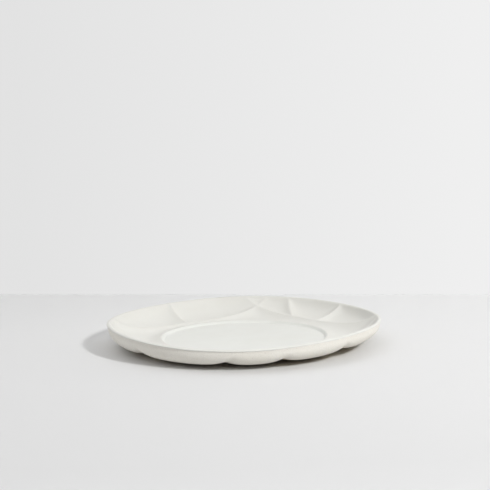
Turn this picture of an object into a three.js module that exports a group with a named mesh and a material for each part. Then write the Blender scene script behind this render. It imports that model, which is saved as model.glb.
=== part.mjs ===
// Lobed stoneware plate: a pressed dish with a scooped rim, a luted foot ring and two areas of glaze.
// Millimetres, +Z up. The table is z = 0, the plate's axis is the z axis and its front is -Y.
import * as THREE from 'three';

// Overall sizes
const plateDiameter = 270;
const lipHeight = 24;
const lipRoundRadius = 2;
const lipEdgeRoundness = 1.3;

// Recessed well and the ring edge round it
const ringRadius = 82;
const ringHeight = 7.7;
const wellStepWidth = 3.2;
const wellDepth = 2.3;

// Dish curve from the ring edge up to the lip. The ridges start a little above the ring edge.
const dishCurvePower = 3.2;
const ridgeRise = 2.1;
const ridgeRiseRun = 4;

// Uneven lip of a hand-pressed plate: a slight tilt and two slow waves round the edge
const lipWaves = [
  { count: 1, height: 1.05, angle: 90 },
  { count: 2, height: 0.83, angle: -19 },
  { count: 3, height: 1.31, angle: -108 },
];

// Straight ridges across the rim, each given by the lip angles of its two ends
const ridgeEndAngles = [
  [77.3, 175.5],
  [2.5, 90],
  [-101, -0.5],
  [183, 288],
];

// Short ridges that split the petals: which ridge they end on, lip angle, angle where they end
const dividers = [
  { ridge: 0, lipAngle: 127.3, innerAngle: 132.2 },
  { ridge: 1, lipAngle: 68.7, innerAngle: 59.8 },
  { ridge: 1, lipAngle: 38.6, innerAngle: 42 },
  { ridge: 2, lipAngle: -45.3, innerAngle: -32 },
  { ridge: 2, lipAngle: -73.3, innerAngle: -73 },
  { ridge: 3, lipAngle: 266, innerAngle: 250 },
  { ridge: 3, lipAngle: 222, innerAngle: 214 },
];

// Scoops between the ridges, steeper under the lip than beside a ridge
const scoopDepth = 7.2;
const crestRoundness = 1.2;
const scoopRun = 9;
const lipSteepness = 2.2;

// Outside of the wall, a superellipse in section that is drawn up along the creases between its lobes.
// Each crease is given by its angle at the lip and at the base. Some of them lean.
const creases = [
  { lipAngle: 38.6, baseAngle: 43 },
  { lipAngle: 68.7, baseAngle: 59 },
  { lipAngle: 127.3, baseAngle: 133 },
  { lipAngle: 222, baseAngle: 212 },
  { lipAngle: 266, baseAngle: 250 },
  { lipAngle: 286.7, baseAngle: 287.2 },
  { lipAngle: 314.5, baseAngle: 331.5 },
];
const wallFullness = 2.6;
const creaseRise = 4.2;
const creaseRoundness = 1.6;
const creaseRun = 7;
const shallowSideRise = 0.7;
const shallowSideAngle = -15;

// Base and foot ring
const baseHeight = 0.9;
const baseRadius = 80;
const footOuterRadius = 74;
const footWidth = 8;
const footTaper = 0.6;

// Glaze coats
const glazeThickness = 0.5;
const bondGap = 0.3;
const glazeLap = 0.5;

// Fineness of the facets
const columnCount = 132;
const shoulderSteps = 3;
const petalSteps = 5;
const roundColumnCount = 60;
const leastShoulder = 6;
const leastPetal = 14;
const petalCrowding = 1.5;

const lipRadius = plateDiameter / 2;
const coatDepth = glazeThickness + bondGap;
const { degToRad, clamp, smoothstep } = THREE.MathUtils;

// The inner edge of the lip's roll is an eighth of a turn from its top.
const rollShare = Math.SQRT1_2;
const dishRadius = lipRadius - lipRoundRadius * (1 + rollShare);
const dishRimDrop = lipRoundRadius * (1 - rollShare);

const ridges = ridgeEndAngles.map(([start, end]) => ({
  middle: degToRad((start + end) / 2),
  distance: lipRadius * Math.cos(degToRad((end - start) / 2)),
}));

const dividerLines = dividers.map(({ ridge, lipAngle, innerAngle }) => {
  const { middle, distance } = ridges[ridge];
  const inner = degToRad(innerAngle);
  const innerRadius = distance / Math.cos(inner - middle);
  const lip = degToRad(lipAngle);
  return new THREE.Line3(
    new THREE.Vector3(lipRadius * Math.cos(lip), lipRadius * Math.sin(lip), 0),
    new THREE.Vector3(innerRadius * Math.cos(inner), innerRadius * Math.sin(inner), 0),
  );
});

function lipWave(angle) {
  return lipWaves.reduce((total, wave) => (
    total + wave.height * Math.cos(wave.count * angle - degToRad(wave.angle))
  ), 0);
}

// 0 at the ring edge and 1 at the lip
function rimShare(radius) {
  return clamp((radius - ringRadius) / (dishRadius - ringRadius), 0, 1);
}

// Plan distances from a point to every straight ridge and every divider
function ridgeDistances(radius, angle) {
  const point = new THREE.Vector3(radius * Math.cos(angle), radius * Math.sin(angle), 0);
  const nearest = new THREE.Vector3();
  const toRidges = ridges.map(({ middle, distance }) => Math.abs(radius * Math.cos(angle - middle) - distance));
  const toDividers = dividerLines.map((line) => line.closestPointToPoint(point, true, nearest).distanceTo(point));
  return [...toRidges, ...toDividers];
}

// Arc distances from a point of the outside to every crease
function creaseDistances(radius, angle) {
  const down = (lipRadius - radius) / (lipRadius - baseRadius);
  return creases.map(({ lipAngle, baseAngle }) => {
    const turn = angle - degToRad(THREE.MathUtils.lerp(lipAngle, baseAngle, down));
    return radius * Math.abs(Math.atan2(Math.sin(turn), Math.cos(turn)));
  });
}

// A soft least distance, so that a scoop has no crease along its middle
function softLeast(distances) {
  const touching = 0.01;
  const sum = distances.reduce((total, distance) => total + (distance + touching) ** -2, 0);
  return 1 / Math.sqrt(sum);
}

// 0 on a ridge and towards 1 away from it, with a rounded crest
function wallShare(distance, roundness, run) {
  return 1 - Math.exp((roundness - Math.hypot(distance, roundness)) / run);
}

// Height of the glazed upper face
function upperHeight(radius, angle) {
  if (radius <= ringRadius) {
    const rise = smoothstep(radius, ringRadius - wellStepWidth, ringRadius);
    return ringHeight - wellDepth * (1 - rise);
  }
  const share = rimShare(radius);
  const ridgeFoot = ringHeight + ridgeRise * (1 - Math.exp((ringRadius - radius) / ridgeRiseRun));
  const dish = THREE.MathUtils.lerp(ridgeFoot, lipHeight - dishRimDrop, share ** dishCurvePower);
  const fromRing = radius - ringRadius;
  const fromLip = lipSteepness * Math.max(dishRadius - radius, 0);
  const away = softLeast([...ridgeDistances(radius, angle), fromRing, fromLip]);
  return dish + lipWave(angle) * share ** 2 - scoopDepth * wallShare(away, crestRoundness, scoopRun);
}

// A point of the outside: turn 0 is under the lip and a quarter turn is the edge of the base.
// A crease is deepest two thirds of the way out, where swell is 1.
function wallPoint(turn, angle) {
  const swellPeak = 4 / 27;
  const reach = lipRadius - coatDepth - baseRadius;
  const under = lipHeight - lipEdgeRoundness;
  const out = Math.cos(turn) ** (2 / wallFullness);
  const radius = baseRadius + reach * out;
  const gap = softLeast(creaseDistances(radius, angle));
  const swell = (out ** 2 * (1 - out)) / swellPeak;
  const crease = creaseRise * swell * (1 - wallShare(gap, creaseRoundness, creaseRun));
  const height = under - (under - baseHeight) * Math.sin(turn) ** (2 / wallFullness);
  const shallow = shallowSideRise * Math.cos(angle - degToRad(shallowSideAngle)) * Math.sin(2 * turn) ** 2;
  return [radius, height + crease + shallow + lipWave(angle) * out ** 2];
}

// Radii at one angle, from the ring edge over the straight ridge to the edge of the dish
function rimRadii(angle) {
  const crossings = ridges.map(({ middle, distance }) => {
    const facing = Math.cos(angle - middle);
    return facing > 0 ? distance / facing : Infinity;
  });
  const ridgeRadius = clamp(Math.min(...crossings), ringRadius + leastShoulder, dishRadius - leastPetal);
  const radii = [];
  for (let step = 1; step <= shoulderSteps; step++) {
    radii.push(THREE.MathUtils.lerp(ringRadius, ridgeRadius, step / shoulderSteps));
  }
  for (let step = 1; step <= petalSteps; step++) {
    const left = (1 - step / petalSteps) ** petalCrowding;
    radii.push(THREE.MathUtils.lerp(dishRadius, ridgeRadius, left));
  }
  return radii;
}

// The roll of the lip in section, from its top to its tighter outer side, at a depth under the glaze face
function lipRoll(angle, depth) {
  const top = lipHeight + lipWave(angle);
  return [90, 40, 0].map((turn) => [
    lipRadius - lipRoundRadius + (lipRoundRadius - depth) * Math.cos(degToRad(turn)),
    top - lipEdgeRoundness + (lipEdgeRoundness - depth) * Math.sin(degToRad(turn)),
  ]);
}

// Upper face in section from the ring edge to the lip's outer side
function rimFace(angle, depth, firstRadius) {
  const radii = [firstRadius, ...rimRadii(angle)];
  return [
    ...radii.map((radius) => [radius, upperHeight(radius, angle) - depth]),
    ...lipRoll(angle, depth),
  ];
}

// Step of the well in section, from its floor to just inside the ring edge
function wellStep(depth, lastRadius) {
  const steps = 4;
  const radii = Array.from({ length: steps }, (_, i) => (
    THREE.MathUtils.lerp(ringRadius - wellStepWidth, lastRadius, i / (steps - 1))
  ));
  return radii.map((radius) => [radius, upperHeight(radius, 0) - depth]);
}

function bodySection(angle) {
  const turns = [10, 20, 32, 45, 58, 72, 90].map(degToRad);
  return [
    [0, ringHeight - wellDepth - coatDepth],
    ...wellStep(coatDepth, ringRadius),
    ...rimFace(angle, coatDepth, ringRadius).slice(1),
    ...turns.map((turn) => wallPoint(turn, angle)),
    [0, baseHeight],
  ];
}

function rimGlazeSection(angle) {
  const firstRadius = ringRadius + bondGap;
  const lapHeight = lipHeight + lipWave(angle) - lipEdgeRoundness - glazeLap;
  return [
    ...rimFace(angle, 0, firstRadius),
    [lipRadius, lapHeight],
    [lipRadius - glazeThickness, lapHeight],
    ...rimFace(angle, glazeThickness, firstRadius).reverse(),
  ];
}

// Joins sections round the axis. Both faces of a coat are cut along the same diagonals as the body under it.
function sweepRound(sectionAt, closed) {
  const sections = Array.from({ length: columnCount }, (_, i) => sectionAt((2 * Math.PI * i) / columnCount));
  const rowCount = sections[0].length;
  const positions = sections.flatMap((section, i) => section.flatMap(([radius, height]) => {
    const angle = (2 * Math.PI * i) / columnCount;
    return [radius * Math.cos(angle), radius * Math.sin(angle), height];
  }));
  const triangles = [];
  const lastRow = closed ? rowCount : rowCount - 1;
  for (let i = 0; i < columnCount; i++) {
    const next = (i + 1) % columnCount;
    for (let row = 0; row < lastRow; row++) {
      const after = (row + 1) % rowCount;
      const [a, b] = [i * rowCount + row, next * rowCount + row];
      const [c, d] = [next * rowCount + after, i * rowCount + after];
      const runsOut = sections[i][after][0] > sections[i][row][0];
      if (sections[i][row][0] === 0) {
        triangles.push(a, d, c);
      } else if (sections[i][after][0] === 0) {
        triangles.push(a, d, b);
      } else if (runsOut) {
        triangles.push(a, d, b, b, d, c);
      } else {
        triangles.push(a, d, c, a, c, b);
      }
    }
  }
  const geometry = new THREE.BufferGeometry();
  geometry.setAttribute('position', new THREE.Float32BufferAttribute(positions, 3));
  geometry.setIndex(triangles);
  geometry.computeVertexNormals();
  return geometry;
}

function revolve(profile) {
  const points = profile.map(([radius, height]) => new THREE.Vector2(radius, height));
  return new THREE.LatheGeometry(points, roundColumnCount).rotateX(Math.PI / 2);
}

function wellGlazeProfile() {
  const lastRadius = ringRadius - bondGap;
  return [
    [0, ringHeight - wellDepth - glazeThickness],
    ...wellStep(glazeThickness, lastRadius),
    ...wellStep(0, lastRadius).reverse(),
    [0, ringHeight - wellDepth],
  ];
}

function footRingProfile() {
  const innerRadius = footOuterRadius - footWidth;
  const profile = [
    [innerRadius, baseHeight],
    [innerRadius + footTaper, 0],
    [footOuterRadius - footTaper, 0],
    [footOuterRadius, baseHeight],
  ];
  return [...profile, profile[0]];
}

function addPiece(group, name, geometry, look) {
  const mesh = new THREE.Mesh(geometry, new THREE.MeshStandardMaterial(look));
  mesh.name = name;
  group.add(mesh);
}

const plate = new THREE.Group();
addPiece(plate, 'stoneware_body', sweepRound(bodySection, false), { color: 0xd9d5c8, roughness: 0.9, metalness: 0 });
addPiece(plate, 'foot_ring', revolve(footRingProfile()), { color: 0xd2cdbf, roughness: 0.92, metalness: 0 });
addPiece(plate, 'rim_glaze', sweepRound(rimGlazeSection, true), { color: 0xe9e7e0, roughness: 0.42, metalness: 0 });
addPiece(plate, 'well_glaze', revolve(wellGlazeProfile()), { color: 0xe2e3dc, roughness: 0.3, metalness: 0 });

export default plate;
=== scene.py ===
import math

import bpy
import numpy as np
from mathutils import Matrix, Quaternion, Vector


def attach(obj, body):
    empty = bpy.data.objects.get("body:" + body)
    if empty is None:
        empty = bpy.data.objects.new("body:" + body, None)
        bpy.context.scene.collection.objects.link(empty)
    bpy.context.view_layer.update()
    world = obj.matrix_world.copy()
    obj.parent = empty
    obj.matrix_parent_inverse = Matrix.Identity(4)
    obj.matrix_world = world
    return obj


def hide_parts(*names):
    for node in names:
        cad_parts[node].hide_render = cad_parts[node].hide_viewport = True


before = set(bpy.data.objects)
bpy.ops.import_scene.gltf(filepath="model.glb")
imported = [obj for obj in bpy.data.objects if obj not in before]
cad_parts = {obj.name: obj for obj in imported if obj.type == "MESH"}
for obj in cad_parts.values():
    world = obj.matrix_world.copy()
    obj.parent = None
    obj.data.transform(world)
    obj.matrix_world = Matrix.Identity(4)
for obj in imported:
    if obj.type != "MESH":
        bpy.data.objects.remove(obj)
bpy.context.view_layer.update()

mm = 0.001
print("frame loaded:", len(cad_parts), "nodes")

# camera, at the height and distance of the photograph
cameraView = {
    "target": (0.0, 0.0, 0.024),      # middle of the lip
    "targetPixel": (243.88, 319.0),   # where that point lies, from the picture's top left corner
    "pictureSize": 490,
    "distance": 1.15,
    "elevation": 10.3,
    "roll": -1.24,
    "lens": 85.1,
    "sensor": 36.0,
}


def pixelRay(view, pixel):
    half = view["pictureSize"] / 2
    focal = view["lens"] / view["sensor"] * view["pictureSize"]
    return Vector((pixel[0] - half, half - pixel[1], -focal)).normalized()


def addCamera(view):
    rise = math.radians(view["elevation"])
    target = Vector(view["target"])
    place = target + view["distance"] * Vector((0, -math.cos(rise), math.sin(rise)))
    facing = (target - place).to_track_quat("-Z", "Y")
    roll = Quaternion((0, 0, 1), math.radians(view["roll"]))
    aim = pixelRay(view, view["targetPixel"]).rotation_difference(Vector((0, 0, -1)))
    data = bpy.data.cameras.new("camera")
    data.lens = view["lens"]
    data.sensor_width = view["sensor"]
    camera = bpy.data.objects.new("camera", data)
    camera.location = place
    camera.rotation_mode = "QUATERNION"
    camera.rotation_quaternion = facing @ roll @ aim
    bpy.context.scene.collection.objects.link(camera)
    bpy.context.scene.camera = camera
    return camera


camera = addCamera(cameraView)
bpy.context.scene.view_settings.view_transform = "Standard"
print("camera set")


# small helpers for shader nodes
def newMaterial(name):
    material = bpy.data.materials.new(name)
    material.use_nodes = True
    tree = material.node_tree
    return material, tree, tree.nodes["Principled BSDF"]


# links another node's socket, or sets a plain value
def feed(tree, socket, value):
    if isinstance(value, bpy.types.NodeSocket):
        tree.links.new(value, socket)
    else:
        socket.default_value = value


def addNode(tree, kind, inputs=None, **fields):
    node = tree.nodes.new(kind)
    for field, value in fields.items():
        setattr(node, field, value)
    for socket, value in (inputs or {}).items():
        feed(tree, node.inputs[socket], value)
    return node


def noise(tree, coords, scale, detail=2.0, roughness=0.5):
    values = {"Vector": coords, "Scale": scale, "Detail": detail, "Roughness": roughness}
    return addNode(tree, "ShaderNodeTexNoise", values).outputs["Fac"]


def remap(tree, value, span, newSpan):
    node = addNode(tree, "ShaderNodeMapRange", {"Value": value})
    for socket, number in zip(("From Min", "From Max", "To Min", "To Max"), (*span, *newSpan)):
        node.inputs[socket].default_value = number
    return node.outputs["Result"]


def doMath(tree, operation, first, second):
    return addNode(tree, "ShaderNodeMath", {0: first, 1: second}, operation=operation).outputs[0]


# a Mix node's colours are its inputs 6 and 7 and its output 2
def mixColor(tree, share, first, second):
    node = addNode(tree, "ShaderNodeMix", data_type="RGBA")
    feed(tree, node.inputs[0], share)
    feed(tree, node.inputs[6], first)
    feed(tree, node.inputs[7], second)
    return node.outputs[2]


# a surface effect that puts out a colour, a roughness and a height
def newSkinGroup(name, inputs):
    group = bpy.data.node_groups.new(name, "ShaderNodeTree")
    for label, kind, value in inputs:
        socket = group.interface.new_socket(label, in_out="INPUT", socket_type=kind)
        if value is not None:
            socket.default_value = value
    group.interface.new_socket("Color", in_out="OUTPUT", socket_type="NodeSocketColor")
    group.interface.new_socket("Roughness", in_out="OUTPUT", socket_type="NodeSocketFloat")
    group.interface.new_socket("Height", in_out="OUTPUT", socket_type="NodeSocketFloat")
    given = group.nodes.new("NodeGroupInput").outputs
    result = group.nodes.new("NodeGroupOutput").inputs
    return group, given, result


def placeGroup(tree, group, values):
    node = tree.nodes.new("ShaderNodeGroup")
    node.node_tree = group
    for label, value in values.items():
        feed(tree, node.inputs[label], value)
    return node.outputs


# glaze: slow thick and thin clouding, faint pinholes, a slightly rippled satin skin
glazeTexture = {
    "cloudScale": 32,
    "cloudSpan": (0.35, 0.75),
    "clouding": 0.3,
    "pitScale": 950,
    "pitSpan": (0.70, 0.78),
    "pitting": 0.35,
    "pitDepth": 1.6,
    "driftScale": 75,
    "driftSpan": (0.3, 0.7),
    "drift": (-0.05, 0.07),   # change of the roughness
    "rippleScale": 260,
    "slowDetail": 3.0,
}


def makeGlazeSkin(texture):
    group, given, result = newSkinGroup("glazeSkin", [
        ("Thick Color", "NodeSocketColor", None),
        ("Thin Color", "NodeSocketColor", None),
        ("Thinness", "NodeSocketFloat", 0.0),
        ("Satin", "NodeSocketFloat", None),
        ("Ripple", "NodeSocketFloat", 1.0),
    ])
    coords = addNode(group, "ShaderNodeTexCoord").outputs["Object"]
    cloud = noise(group, coords, texture["cloudScale"], texture["slowDetail"])
    clouding = remap(group, cloud, texture["cloudSpan"], (0.0, texture["clouding"]))
    thin = doMath(group, "ADD", given["Thinness"], clouding)
    fleck = noise(group, coords, texture["pitScale"])
    pits = remap(group, fleck, texture["pitSpan"], (0.0, texture["pitting"]))
    thin = doMath(group, "ADD", thin, pits)
    color = mixColor(group, thin, given["Thick Color"], given["Thin Color"])
    slow = noise(group, coords, texture["driftScale"], texture["slowDetail"])
    drift = remap(group, slow, texture["driftSpan"], texture["drift"])
    ripple = noise(group, coords, texture["rippleScale"])
    height = doMath(group, "MULTIPLY", ripple, given["Ripple"])
    height = doMath(group, "SUBTRACT", height, doMath(group, "MULTIPLY", pits, texture["pitDepth"]))
    group.links.new(color, result["Color"])
    group.links.new(doMath(group, "ADD", given["Satin"], drift), result["Roughness"])
    group.links.new(height, result["Height"])
    return group


# clay: slow kiln flush, fine sandy tooth with painted shade in its hollows, small dabs from the press
# with painted shade in their dents, iron specks
clayTexture = {
    "flushScale": 26,
    "flushSpan": (0.35, 0.7),
    "flushing": 0.6,
    "grainScale": 1500,
    "grainRoughness": 0.6,
    "grainSpan": (0.3, 0.75),
    "hollowShading": 0.22,
    "hollowShadeColor": (0.42, 0.37, 0.3, 1),
    "dabScale": 270,
    "dabSpan": (0.3, 0.7),
    "dentShading": 0.12,
    "dabHeight": 2.2,
    "speckScale": 780,
    "speckDetail": 1.0,
    "speckSpan": (0.73, 0.79),
    "specking": 0.4,
    "speckColor": (0.3, 0.24, 0.17, 1),
    "sandScale": 520,
    "sandHeight": 0.8,
    "polish": 0.25,            # roughness that rubbing takes off
    "drySpan": (0.3, 0.7),
    "dryDrift": (-0.05, 0.08),
    "slowDetail": 3.0,
}


def makeClayTooth(texture):
    group, given, result = newSkinGroup("clayTooth", [
        ("Clay Color", "NodeSocketColor", None),
        ("Flush Color", "NodeSocketColor", None),
        ("Rub", "NodeSocketFloat", 0.0),
        ("Dryness", "NodeSocketFloat", None),
    ])
    coords = addNode(group, "ShaderNodeTexCoord").outputs["Object"]
    slow = noise(group, coords, texture["flushScale"], texture["slowDetail"])
    flush = remap(group, slow, texture["flushSpan"], (0.0, texture["flushing"]))
    color = mixColor(group, flush, given["Clay Color"], given["Flush Color"])
    grain = noise(group, coords, texture["grainScale"], texture["slowDetail"], texture["grainRoughness"])
    # the hollows of the tooth are painted darker with this colour: painted shade
    paintedHollowShade = remap(group, grain, texture["grainSpan"], (texture["hollowShading"], 0.0))
    color = mixColor(group, paintedHollowShade, color, texture["hollowShadeColor"])
    dabs = noise(group, coords, texture["dabScale"])
    # the dents of the dabs are tinted towards the darker flush colour: painted shade
    paintedDentShade = remap(group, dabs, texture["dabSpan"], (texture["dentShading"], 0.0))
    color = mixColor(group, paintedDentShade, color, given["Flush Color"])
    iron = noise(group, coords, texture["speckScale"], texture["speckDetail"])
    speck = remap(group, iron, texture["speckSpan"], (0.0, texture["specking"]))
    color = mixColor(group, speck, color, texture["speckColor"])
    sand = noise(group, coords, texture["sandScale"])
    tooth = doMath(group, "ADD", grain, doMath(group, "MULTIPLY", sand, texture["sandHeight"]))
    tooth = doMath(group, "ADD", tooth, doMath(group, "MULTIPLY", dabs, texture["dabHeight"]))
    unrubbed = doMath(group, "SUBTRACT", 1.0, given["Rub"])
    polish = doMath(group, "MULTIPLY", given["Rub"], texture["polish"])
    dry = doMath(group, "SUBTRACT", given["Dryness"], polish)
    dry = doMath(group, "ADD", dry, remap(group, grain, texture["drySpan"], texture["dryDrift"]))
    group.links.new(color, result["Color"])
    group.links.new(dry, result["Roughness"])
    group.links.new(doMath(group, "MULTIPLY", tooth, unrubbed), result["Height"])
    return group


glazeSkin = makeGlazeSkin(glazeTexture)
clayTooth = makeClayTooth(clayTexture)


def finishSurface(tree, shader, finish, skin, color):
    tree.links.new(color, shader.inputs["Base Color"])
    tree.links.new(skin["Roughness"], shader.inputs["Roughness"])
    values = {"Height": skin["Height"], "Distance": finish["bumpDepth"], "Strength": 1.0}
    bump = addNode(tree, "ShaderNodeBump", values)
    tree.links.new(bump.outputs["Normal"], shader.inputs["Normal"])
    shader.inputs["Specular IOR Level"].default_value = finish["sheen"]


# satin glaze of the rim, thinner along the crests that the mesh marks
satinFinish = {
    "thick": (0.82, 0.815, 0.775, 1),
    "thin": (0.77, 0.755, 0.70, 1),
    "satin": 0.45,
    "sheen": 0.22,
    "crestThinness": 0.25,
    "bumpDepth": 0.00005,   # metres
}


def makeSatinGlaze(finish):
    material, tree, shader = newMaterial("satinGlaze")
    crest = addNode(tree, "ShaderNodeAttribute", attribute_name="crest").outputs["Fac"]
    skin = placeGroup(tree, glazeSkin, {
        "Thick Color": finish["thick"],
        "Thin Color": finish["thin"],
        "Thinness": doMath(tree, "MULTIPLY", crest, finish["crestThinness"]),
        "Satin": finish["satin"],
    })
    finishSurface(tree, shader, finish, skin, skin["Color"])
    return material


# well glaze, smoother and a little cooler
wellFinish = {
    "thick": (0.835, 0.84, 0.80, 1),
    "thin": (0.79, 0.79, 0.74, 1),
    "satin": 0.38,
    "sheen": 0.15,
    "ripple": 0.7,
    "bumpDepth": 0.00004,
}


def makeWellGlaze(finish):
    material, tree, shader = newMaterial("wellGlaze")
    skin = placeGroup(tree, glazeSkin, {
        "Thick Color": finish["thick"],
        "Thin Color": finish["thin"],
        "Satin": finish["satin"],
        "Ripple": finish["ripple"],
    })
    finishSurface(tree, shader, finish, skin, skin["Color"])
    return material


# bare clay of the outside, with a white slip that is wiped off under the plate
clayFinish = {
    "clay": (0.91, 0.89, 0.83, 1),
    "flush": (0.88, 0.85, 0.775, 1),
    "rawClay": (0.72, 0.60, 0.42, 1),   # the browner clay where the slip is off
    "rawFlush": (0.60, 0.48, 0.31, 1),
    "dryness": 0.82,
    "sheen": 0.3,
    "bumpDepth": 0.00012,
}


def makeBareClay(finish):
    material, tree, shader = newMaterial("bareClay")
    bare = addNode(tree, "ShaderNodeAttribute", attribute_name="bare").outputs["Fac"]
    skin = placeGroup(tree, clayTooth, {
        "Clay Color": mixColor(tree, bare, finish["clay"], finish["rawClay"]),
        "Flush Color": mixColor(tree, bare, finish["flush"], finish["rawFlush"]),
        "Dryness": finish["dryness"],
    })
    finishSurface(tree, shader, finish, skin, skin["Color"])
    return material


# foot clay, rubbed smooth and a little grey in patches where it stands
footFinish = {
    "clay": (0.69, 0.59, 0.44, 1),
    "flush": (0.64, 0.53, 0.37, 1),
    "rubbed": (0.66, 0.61, 0.53, 1),
    "patchScale": 140,
    "patchDetail": 3.0,
    "patchSpan": (0.3, 0.6),
    "patching": (0.2, 0.8),
    "dryness": 0.85,
    "sheen": 0.3,
    "bumpDepth": 0.00012,
}


def makeFootClay(finish):
    material, tree, shader = newMaterial("footClay")
    rub = addNode(tree, "ShaderNodeAttribute", attribute_name="rub").outputs["Fac"]
    skin = placeGroup(tree, clayTooth, {
        "Clay Color": finish["clay"],
        "Flush Color": finish["flush"],
        "Rub": rub,
        "Dryness": finish["dryness"],
    })
    coords = addNode(tree, "ShaderNodeTexCoord").outputs["Object"]
    patch = noise(tree, coords, finish["patchScale"], finish["patchDetail"])
    patch = remap(tree, patch, finish["patchSpan"], finish["patching"])
    color = mixColor(tree, doMath(tree, "MULTIPLY", rub, patch), skin["Color"], finish["rubbed"])
    finishSurface(tree, shader, finish, skin, color)
    return material


satinGlaze = makeSatinGlaze(satinFinish)
wellGlazeFinish = makeWellGlaze(wellFinish)
bareClay = makeBareClay(clayFinish)
footClay = makeFootClay(footFinish)
print("finishes made")

# form of the plate in millimetres and degrees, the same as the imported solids
plateForm = {
    "lipRadius": 135.0,
    "lipHeight": 24.0,
    "lipRound": 2.0,
    "lipEdgeRound": 1.3,  # the outer side of the lip is tighter
    "ringRadius": 82.0,
    "ringHeight": 7.7,
    "wellRadius": 78.8,
    "wellHeight": 5.4,
    "ridgeRise": 2.1,     # how far the ridges stand above the ring edge at its side
    "ridgeRiseRun": 4.0,
    "dishPower": 3.2,
    "lipWaves": [(1, 1.05, 90), (2, 0.83, -19), (3, 1.31, -108)],  # waves round the lip, height, angle
    "ridgeEnds": [(77.3, 175.5), (2.5, 90), (-101, -0.5), (183, 288)],
    # ridge that a divider ends on, its angle at the lip, its angle on the ridge
    "dividers": [(0, 127.3, 132.2), (1, 68.7, 59.8), (1, 38.6, 42), (2, -45.3, -32),
                 (2, -73.3, -73), (3, 266, 250), (3, 222, 214)],
    "scoopDepth": 7.2,
    "crestRound": 1.2,
    "scoopRun": 9.0,
    "lipSteepness": 2.2,  # how much faster a scoop falls from the lip than from a ridge
    "coatDepth": 0.8,
}

# hand of the maker and fineness of the meshes, which the solids leave out
handForm = {
    "wander": 0.7,                       # how far a pressed ridge strays from a straight line
    "wanderAcross": (19, 0.4),           # run and start of the stray
    "wanderDeep": (16, 1.7),
    "unevenness": 0.12,                  # slow swells of the faces
    "swellAcross": (17, 0.0, 0.6, 23),   # run and start of a swell, size and run of its bend
    "swellDeep": (14, 1.1, 0.7, 29),
    "swellSlant": (9, 2.0, 0.5),         # run, start and size of the slanting swell
    "leastGap": 0.01,
    "columns": 720,
    "middleRadius": 2.0,                 # first row round the middle point
    "sharpAngle": 50,
}
rollShare = math.sqrt(0.5)  # the dish meets the lip's roll at 45 degrees
dishRadius = plateForm["lipRadius"] - plateForm["lipRound"] * (1 + rollShare)
angles = np.linspace(0, 2 * math.pi, handForm["columns"], endpoint=False)


def lipWave(angle):
    waves = plateForm["lipWaves"]
    return sum(height * np.cos(count * angle - math.radians(turn)) for count, height, turn in waves)


# a line that wavers round the plate by up to one, from waves with a count, a height and a start
def waver(waves):
    line = sum(height * np.sin(count * angles + start) for count, height, start in waves)
    return line / sum(height for count, height, start in waves)


def swell(first, second, run, start, bend, bendRun):
    return np.sin(first / run + start + bend * np.sin(second / bendRun))


def unevenness(x, y):
    slow = swell(x, y, *handForm["swellAcross"]) + swell(y, x, *handForm["swellDeep"])
    run, start, size = handForm["swellSlant"]
    return handForm["unevenness"] * (slow + size * np.sin((x + y) / run + start))


def strayed(x, y):
    stray = handForm["wander"]
    acrossRun, acrossStart = handForm["wanderAcross"]
    deepRun, deepStart = handForm["wanderDeep"]
    return x + stray * np.sin(y / acrossRun + acrossStart), y + stray * np.sin(x / deepRun + deepStart)


# a ridge is a chord: the angle of its middle and its distance from the plate's middle
def ridgeLines():
    lines = []
    for start, end in plateForm["ridgeEnds"]:
        middle = math.radians((start + end) / 2)
        lines.append((middle, plateForm["lipRadius"] * math.cos(math.radians((end - start) / 2))))
    return lines


# a divider runs from the lip to a point on its ridge
def dividerLines(ridges):
    lines = []
    for ridge, lipAngle, innerAngle in plateForm["dividers"]:
        middle, distance = ridges[ridge]
        inner = math.radians(innerAngle)
        reach = distance / math.cos(inner - middle)
        lip = math.radians(lipAngle)
        outerEnd = plateForm["lipRadius"] * np.array([math.cos(lip), math.sin(lip)])
        lines.append((outerEnd, reach * np.array([math.cos(inner), math.sin(inner)])))
    return lines


ridges = ridgeLines()
dividers = dividerLines(ridges)


def ridgeGaps(radius, angle):
    x, y = strayed(radius * np.cos(angle), radius * np.sin(angle))
    gaps = []
    for middle, distance in ridges:
        gaps.append(abs(x * math.cos(middle) + y * math.sin(middle) - distance))
    for start, end in dividers:
        run = end - start
        along = np.clip(((x - start[0]) * run[0] + (y - start[1]) * run[1]) / (run @ run), 0, 1)
        gaps.append(np.hypot(x - start[0] - along * run[0], y - start[1] - along * run[1]))
    return gaps


# near the least of several gaps, with no kink where two are alike
def softLeast(gaps):
    return sum((gap + handForm["leastGap"]) ** -2 for gap in gaps) ** -0.5


def wallShare(gap, roundness, run):
    return 1 - np.exp((roundness - np.hypot(gap, roundness)) / run)


def smoothStep(value, low, high):
    share = np.clip((value - low) / (high - low), 0, 1)
    return share * share * (3 - 2 * share)


def scoopShare(radius, angle):
    fromRing = np.maximum(radius - plateForm["ringRadius"], 0)
    fromLip = plateForm["lipSteepness"] * np.maximum(dishRadius - radius, 0)
    away = softLeast(ridgeGaps(radius, angle) + [fromRing, fromLip])
    return wallShare(away, plateForm["crestRound"], plateForm["scoopRun"])


# height of the glazed face over the rim
def rimHeight(radius, angle):
    ring = plateForm["ringRadius"]
    share = np.clip((radius - ring) / (dishRadius - ring), 0, 1)
    lipEdge = plateForm["lipHeight"] - plateForm["lipRound"] * (1 - rollShare)
    ramp = 1 - np.exp((ring - radius) / plateForm["ridgeRiseRun"])
    ridgeFoot = plateForm["ringHeight"] + plateForm["ridgeRise"] * ramp
    dish = ridgeFoot + (lipEdge - ridgeFoot) * share ** plateForm["dishPower"]
    scoop = plateForm["scoopDepth"] * scoopShare(radius, angle)
    calm = 4 * share * (1 - share)  # no unevenness at the ring and the lip
    uneven = calm * unevenness(radius * np.cos(angle), radius * np.sin(angle))
    return dish + lipWave(angle) * share ** 2 - scoop + uneven


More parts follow.
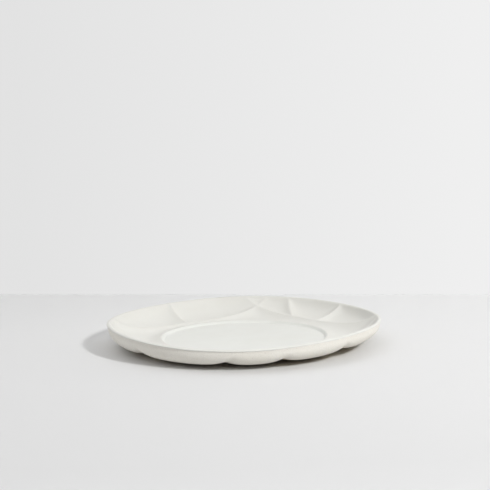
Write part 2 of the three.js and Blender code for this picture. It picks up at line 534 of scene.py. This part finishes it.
def wellHeightAt(radius):
    rise = smoothStep(radius, plateForm["wellRadius"], plateForm["ringRadius"])
    return plateForm["wellHeight"] + (plateForm["ringHeight"] - plateForm["wellHeight"]) * rise


# joins one section per angle into a mesh, in metres
def sweepSections(name, radii, heights, closed, marks=None):
    columns, rows = radii.shape
    turn = angles[:, None]
    points = np.stack([radii * np.cos(turn), radii * np.sin(turn), heights], axis=2) * mm
    corner = np.arange(columns * rows).reshape(columns, rows)
    following = np.roll(corner, -1, axis=0)
    lastRow = rows if closed else rows - 1
    faces = []
    for row in range(lastRow):
        after = (row + 1) % rows
        sides = [corner[:, row], corner[:, after], following[:, after], following[:, row]]
        faces.extend(np.stack(sides, axis=1).tolist())
    vertices = points.reshape(-1, 3).tolist()
    if not closed:
        # a middle point closes each end of the section
        vertices.append([0.0, 0.0, float(points[0, 0, 2])])
        vertices.append([0.0, 0.0, float(points[0, -1, 2])])
        first, last = columns * rows, columns * rows + 1
        faces.extend([first, int(a), int(b)] for a, b in zip(corner[:, 0], following[:, 0]))
        faces.extend([last, int(b), int(a)] for a, b in zip(corner[:, -1], following[:, -1]))
    mesh = bpy.data.meshes.new(name)
    mesh.from_pydata(vertices, [], faces)
    for label, values in (marks or {}).items():
        layer = mesh.attributes.new(label, "FLOAT", "POINT")
        padded = np.zeros(len(vertices), dtype=np.float32)
        padded[:columns * rows] = values.reshape(-1)
        if not closed:
            padded[columns * rows:] = values[0, 0], values[0, -1]
        layer.data.foreach_set("value", padded)
    mesh.validate()
    mesh.shade_smooth()
    mesh.set_sharp_from_angle(angle=math.radians(handForm["sharpAngle"]))
    piece = bpy.data.objects.new(name, mesh)
    bpy.context.scene.collection.objects.link(piece)
    return piece


def dressPiece(piece, material, node):
    piece.data.materials.append(material)
    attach(piece, "root")
    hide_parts(node)
    print("made", piece.name, len(piece.data.polygons), "faces")


# a row is a radius and a height, each one number or one for every angle
def stackRows(rows):
    count = handForm["columns"]
    radii = np.stack([np.broadcast_to(radius, count) for radius, height in rows], axis=1)
    heights = np.stack([np.broadcast_to(height, count) for radius, height in rows], axis=1)
    return radii, heights


def lipRollRows(depth, turns):
    inner = plateForm["lipRound"] - depth
    outer = plateForm["lipEdgeRound"] - depth
    middle = plateForm["lipRadius"] - plateForm["lipRound"]
    top = plateForm["lipHeight"] + lipWave(angles) - depth
    rows = []
    for degrees in turns:
        turn = math.radians(degrees)
        drop = outer if degrees < 90 else inner
        rows.append((middle + inner * math.cos(turn), top - drop * (1 - math.sin(turn))))
    return rows


# rim glaze: the coat over the scoops, round the lip and a little way down the outside
rimGlazeForm = {
    "thickness": 0.5,
    "rimRows": 96,
    "backRows": 16,
    "lap": 0.5,
    "lapWaver": 0.25,
    "lapWaves": [(5, 1.0, 0.8), (11, 0.7, 2.1), (23, 0.5, 0.0)],
    "bead": [(0.0, 0.5), (0.06, 0.25), (0.22, 0.06)],  # in from the outside, up from the glaze line
    "beadTuck": 0.1,
    "lipThinness": 0.6,
    "rollTurns": (118, 100, 84, 68, 52, 36, 20, 0),
}


def buildRimGlaze(form):
    ring = plateForm["ringRadius"]
    outside = plateForm["lipRadius"]
    inside = outside - form["thickness"]
    crest = []
    rows = []
    for radius in np.linspace(ring, dishRadius, form["rimRows"]):
        rows.append((radius, rimHeight(radius, angles)))
        crest.append(1 - scoopShare(radius, angles))
    rows.extend(lipRollRows(0, form["rollTurns"]))
    # the glaze line wavers and ends in a small round bead
    lapHeight = plateForm["lipHeight"] + lipWave(angles) - plateForm["lipEdgeRound"] - form["lap"]
    lapHeight = lapHeight + form["lapWaver"] * waver(form["lapWaves"])
    rows.extend((outside - into, lapHeight + up) for into, up in form["bead"])
    rows.append((inside - form["beadTuck"], lapHeight))
    rows.append((inside, lapHeight + form["bead"][0][1]))
    rows.extend(reversed(lipRollRows(form["thickness"], form["rollTurns"])))
    for radius in np.linspace(dishRadius, ring, form["backRows"]):
        rows.append((radius, rimHeight(radius, angles) - form["thickness"]))
    radii, heights = stackRows(rows)
    marks = np.full_like(radii, form["lipThinness"])
    marks[:, :len(crest)] = np.stack(crest, axis=1)
    return sweepSections("rimGlaze", radii, heights, True, {"crest": marks})


rimGlaze = buildRimGlaze(rimGlazeForm)
dressPiece(rimGlaze, satinGlaze, "rim_glaze")

# well glaze: a shallow pool in the middle that runs up to the ring edge
wellGlazeForm = {
    "thickness": 0.5,
    "floorRows": 24,
    "floorMargin": 1.0,  # from the last row of the floor to the step
    "stepRows": 14,
    "ringGap": 0.05,
}


def buildWellGlaze(form):
    first = handForm["middleRadius"]
    last = plateForm["ringRadius"] - form["ringGap"]
    floor = np.linspace(first, plateForm["wellRadius"] - form["floorMargin"], form["floorRows"])
    step = np.linspace(plateForm["wellRadius"], last, form["stepRows"])
    rows = [(radius, wellHeightAt(radius)) for radius in (*floor, *step)]
    rows.extend((radius, wellHeightAt(radius) - form["thickness"]) for radius in step[::-1])
    rows.append((first, plateForm["wellHeight"] - form["thickness"]))
    radii, heights = stackRows(rows)
    return sweepSections("wellGlaze", radii, heights, False)


wellGlaze = buildWellGlaze(wellGlazeForm)
dressPiece(wellGlaze, wellGlazeFinish, "well_glaze")

# stoneware body: plain under the glaze, lobed and creased outside
bodyForm = {
    "fullness": 2.6,     # two is an ellipse, more is squarer
    "creases": [(38.6, 43), (68.7, 59), (127.3, 133), (222, 212),
                (266, 250), (286.7, 287.2), (314.5, 331.5)],  # angle at the lip and at the base
    "creaseRise": 4.2,   # how far the clay is drawn up along a crease
    "creaseRound": 1.6,
    "creaseRun": 7.0,
    "pinch": 0.8,        # how far a crease is pressed in, nearly up to the lip
    "pinchRound": 0.8,
    "pinchRun": 3.0,
    "pinchFade": 0.04,   # share of the wall over which the pinch fades at the lip
    "shallowRise": 0.7,
    "shallowAngle": -15.0,
    "baseRadius": 80.0,
    "baseHeight": 0.9,
    "wipedRadius": 109.5,   # the white slip is wiped off inside this
    "slipRadius": 117.5,    # and whole outside this
    "wipeWaver": 2.28,
    "wipeWaves": [(3, 1.0, 0.4), (8, 0.6, 1.9), (21, 0.3, 0.0)],
    "stepRows": 6,
    "faceRows": 16,
    "wallRows": 60,
    "baseRows": 16,
    "rollTurns": (118, 84, 52, 20, 0),
}
creasePeak = 4 / 27  # the most that out squared times one less out reaches, two thirds of the way out


# arc distances to the creases
def creaseGaps(form, radius):
    lip = plateForm["lipRadius"]
    down = (lip - radius) / (lip - form["baseRadius"])
    gaps = []
    for lipAngle, baseAngle in form["creases"]:
        turn = angles - math.radians(lipAngle + (baseAngle - lipAngle) * down)
        gaps.append(radius * np.abs(np.arctan2(np.sin(turn), np.cos(turn))))
    return gaps


# a row of the outside: a full rounded wall that is drawn up along the creases between its lobes
def wallRow(form, turn):
    lip = plateForm["lipRadius"] - plateForm["coatDepth"]
    under = plateForm["lipHeight"] - plateForm["lipEdgeRound"]
    drop = under - form["baseHeight"]
    out = math.cos(turn) ** (2 / form["fullness"])
    radius = form["baseRadius"] + (lip - form["baseRadius"]) * out
    gap = softLeast(creaseGaps(form, radius))
    drawn = 1 - wallShare(gap, form["creaseRound"], form["creaseRun"])
    crease = form["creaseRise"] * drawn * out ** 2 * (1 - out) / creasePeak
    wave = lipWave(angles) * out ** 2
    bulge = math.sin(2 * turn) ** 2
    shallow = form["shallowRise"] * np.cos(angles - math.radians(form["shallowAngle"])) * bulge
    height = under - drop * math.sin(turn) ** (2 / form["fullness"]) + crease + wave + shallow
    pressed = 1 - wallShare(gap, form["pinchRound"], form["pinchRun"])
    pinch = form["pinch"] * pressed * out ** 2 * smoothStep(1 - out, 0, form["pinchFade"])
    return radius - pinch, height


def buildBody(form):
    depth = plateForm["coatDepth"]
    middle = handForm["middleRadius"]
    rows = [(middle, plateForm["wellHeight"] - depth)]
    for radius in np.linspace(plateForm["wellRadius"], plateForm["ringRadius"], form["stepRows"]):
        rows.append((radius, wellHeightAt(radius) - depth))
    for radius in np.linspace(plateForm["ringRadius"], dishRadius, form["faceRows"])[1:]:
        rows.append((radius, rimHeight(radius, angles) - depth))
    rows.extend(lipRollRows(depth, form["rollTurns"]))
    faceCount = len(rows)
    for turn in np.linspace(0, math.pi / 2, form["wallRows"] + 1)[1:-1]:
        rows.append(wallRow(form, turn))
    for radius in np.linspace(form["baseRadius"], middle, form["baseRows"]):
        rows.append((radius, form["baseHeight"]))
    radii, heights = stackRows(rows)
    # the slip is wiped off where the wall has turned under, along a wavering line
    place = radii + form["wipeWaver"] * waver(form["wipeWaves"])[:, None]
    wiped = 1 - smoothStep(place, form["wipedRadius"], form["slipRadius"])
    wiped[:, :faceCount] = 0
    return sweepSections("stonewareBody", radii, heights, False, {"bare": wiped})


stonewareBody = buildBody(bodyForm)
dressPiece(stonewareBody, bareClay, "stoneware_body")

# foot ring: a low turned band with its standing face rubbed
footForm = {
    "outerRadius": 74.0,
    "width": 8.0,
    "taper": 0.6,
    "height": 0.9,
    "edgeRound": 0.4,
    "roundSteps": 5,
}


def buildFootRing(form):
    outer = form["outerRadius"]
    inner = outer - form["width"]
    rounding = form["edgeRound"]
    turns = np.linspace(0, math.pi / 2, form["roundSteps"])
    rows = [(outer, form["height"])]
    rub = [0.0]
    for corner, side in ((outer - form["taper"], 1), (inner + form["taper"], -1)):
        for turn in turns if side > 0 else turns[::-1]:
            reach = corner - side * rounding * (1 - math.cos(turn))
            rows.append((reach, rounding * (1 - math.sin(turn))))
            rub.append(float(math.sin(turn)) ** 2)
    rows.append((inner, form["height"]))
    rub.append(0.0)
    radii, heights = stackRows(rows[::-1])
    marks = np.broadcast_to(np.array(rub[::-1]), radii.shape).copy()
    return sweepSections("footRing", radii, heights, True, {"rub": marks})


footRing = buildFootRing(footForm)
dressPiece(footRing, footClay, "foot_ring")

# studio: pale floor painted darker towards the front as painted shade, pale wall behind with a painted
# glow, a compact lamp from the front right and soft glows of the sky
studio = {
    "wallPixels": ((20, 293.5), (470, 293.5)),  # where the wall meets the floor in the picture
    "coveRadius": 0.008,
    "coveSteps": 9,
    "halfWidth": 6.0,
    "floorDepth": 8.0,
    "wallTop": 0.6,
    "floorPaintedShadeNear": (0.70, 0.70, 0.70, 1),
    "floorPaintedLightFar": (0.93, 0.93, 0.93, 1),
    "floorReach": (-0.40, 0.30),           # where the floor's painted shade and painted light lie, in metres from the plate
    "floorSheen": 0.1,
    "paintRoughness": 0.9,
    "wallColor": (0.80, 0.80, 0.795, 1),
    "wallGlowPaintedShade": (0.765, 0.765, 0.765, 1),   # painted glow that the camera sees of the wall: painted shade at the left, painted light at the right
    "wallGlowPaintedLight": (0.865, 0.865, 0.865, 1),
    "wallReach": (-0.28, 0.28),
    "skyColor": (1.0, 1.0, 1.0, 1),
    # where each glow of the sky lies and how strong it is
    "skyGlows": [
        ((0, 0.77, 0.64), 0.9),
        ((-0.77, 0, 0.64), 0.66),
        ((0, 0, 1), 0.28),
        ((1, -0.3, 0.12), 0.2),
    ],
    "glowFocus": 2.0,           # more makes a glow narrower
    "lampTurn": -49.0,          # degrees from the right, towards the front when negative
    "lampRise": 32.5,
    "lampDistance": 2.3,
    "lampSize": (0.18, 0.27),   # across and tall
    "lampPower": 30.3,
}


def floorPoint(pixel):
    ray = camera.rotation_quaternion @ pixelRay(cameraView, pixel)
    return camera.location - ray * (camera.location.z / ray.z)


# a colour that runs from one end of an axis to the other
def stageRamp(tree, axis, reach, first, last):
    coords = addNode(tree, "ShaderNodeTexCoord").outputs["Object"]
    along = addNode(tree, "ShaderNodeSeparateXYZ", {"Vector": coords}).outputs[axis]
    return mixColor(tree, remap(tree, along, reach, (0.0, 1.0)), first, last)


# the back of a stage face is clear to the camera, so that it hides the plate from no side
def clearBack(tree, surface):
    rays = addNode(tree, "ShaderNodeLightPath").outputs
    behind = addNode(tree, "ShaderNodeNewGeometry").outputs["Backfacing"]
    unseen = doMath(tree, "MULTIPLY", rays["Is Camera Ray"], behind)
    clear = addNode(tree, "ShaderNodeBsdfTransparent").outputs[0]
    both = addNode(tree, "ShaderNodeMixShader", {0: unseen, 1: surface, 2: clear})
    tree.links.new(both.outputs[0], tree.nodes["Material Output"].inputs["Surface"])


def paintFloor(values):
    material, tree, shader = newMaterial("floorPaintWithPaintedShade")
    # the floor is painted darker towards the front as painted shade and lighter towards the back as
    # painted light
    color = stageRamp(tree, "Y", values["floorReach"], values["floorPaintedShadeNear"], values["floorPaintedLightFar"])
    tree.links.new(color, shader.inputs["Base Color"])
    shader.inputs["Roughness"].default_value = values["paintRoughness"]
    shader.inputs["Specular IOR Level"].default_value = values["floorSheen"]
    clearBack(tree, shader.outputs[0])
    return material


# the wall shows a painted glow to the camera and in reflections, dimmer at the left and brighter at the
# right as painted shade and painted light, and is plain paint to other light
def paintWall(values):
    material, tree, shader = newMaterial("wallPaintWithPaintedGlow")
    shader.inputs["Base Color"].default_value = values["wallColor"]
    shader.inputs["Roughness"].default_value = values["paintRoughness"]
    # painted glow, darker at the left and lighter at the right: painted shade and painted light
    tone = stageRamp(tree, "X", values["wallReach"], values["wallGlowPaintedShade"], values["wallGlowPaintedLight"])
    glow = addNode(tree, "ShaderNodeEmission", {"Color": tone, "Strength": 1.0}).outputs[0]
    rays = addNode(tree, "ShaderNodeLightPath").outputs
    seen = doMath(tree, "MAXIMUM", rays["Is Camera Ray"], rays["Is Glossy Ray"])
    seen = doMath(tree, "MAXIMUM", seen, rays["Is Transmission Ray"])
    both = addNode(tree, "ShaderNodeMixShader", {0: seen, 1: shader.outputs[0], 2: glow})
    clearBack(tree, both.outputs[0])
    return material


def stagePiece(name, points, faces, material):
    mesh = bpy.data.meshes.new(name)
    mesh.from_pydata(points, [], faces)
    mesh.shade_smooth()
    mesh.materials.append(material)
    piece = bpy.data.objects.new(name, mesh)
    bpy.context.scene.collection.objects.link(piece)


def buildStage(values):
    left, right = (floorPoint(pixel) for pixel in values["wallPixels"])
    along = (right - left).normalized()
    inward = Vector((along.y, -along.x, 0))
    middle = (left + right) / 2
    reach = values["halfWidth"] * along

    # a sheet along the wall, through lines that lie so far in front of it and so high
    def strip(offsets):
        points = []
        for out, rise in offsets:
            place = middle + inward * out + Vector((0, 0, rise))
            points.extend([place - reach, place + reach])
        faces = [(2 * i, 2 * i + 1, 2 * i + 3, 2 * i + 2) for i in range(len(offsets) - 1)]
        return points, faces

    cove = values["coveRadius"]
    bend = []
    for turn in np.linspace(0, math.pi / 2, values["coveSteps"]):
        bend.append((cove * (1 - math.sin(turn)), cove * (1 - math.cos(turn))))
    depth = values["floorDepth"]
    wallPaintWithPaintedGlow = paintWall(values)
    stagePiece("floor", *strip([(depth, 0), (cove, 0)]), paintFloor(values))
    stagePiece("wall", *strip(bend + [(0, values["wallTop"])]), wallPaintWithPaintedGlow)
    stagePiece("floorBehind", *strip([(cove, 0), (-depth, 0)]), wallPaintWithPaintedGlow)


def lightSky(values):
    world = bpy.data.worlds.new("sky")
    world.use_nodes = True
    tree = world.node_tree
    sky = tree.nodes["Background"]
    sky.inputs["Color"].default_value = values["skyColor"]
    facing = addNode(tree, "ShaderNodeTexCoord").outputs["Generated"]
    strength = 0.0
    for place, gain in values["skyGlows"]:
        aim = {0: facing, 1: Vector(place).normalized()}
        near = addNode(tree, "ShaderNodeVectorMath", aim, operation="DOT_PRODUCT").outputs["Value"]
        spread = doMath(tree, "POWER", doMath(tree, "MAXIMUM", near, 0.0), values["glowFocus"])
        strength = doMath(tree, "ADD", strength, doMath(tree, "MULTIPLY", spread, gain))
    tree.links.new(strength, sky.inputs["Strength"])
    bpy.context.scene.world = world


def addLamp(values):
    data = bpy.data.lights.new("softLamp", "AREA")
    data.shape = "RECTANGLE"
    data.size, data.size_y = values["lampSize"]
    data.energy = values["lampPower"]
    lamp = bpy.data.objects.new("softLamp", data)
    turn, rise = math.radians(values["lampTurn"]), math.radians(values["lampRise"])
    flat = math.cos(rise)
    away = Vector((flat * math.cos(turn), flat * math.sin(turn), math.sin(rise)))
    lamp.location = away * values["lampDistance"]
    lamp.rotation_mode = "QUATERNION"
    lamp.rotation_quaternion = away.to_track_quat("Z", "Y")
    bpy.context.scene.collection.objects.link(lamp)


buildStage(studio)
lightSky(studio)
addLamp(studio)
print("studio set")
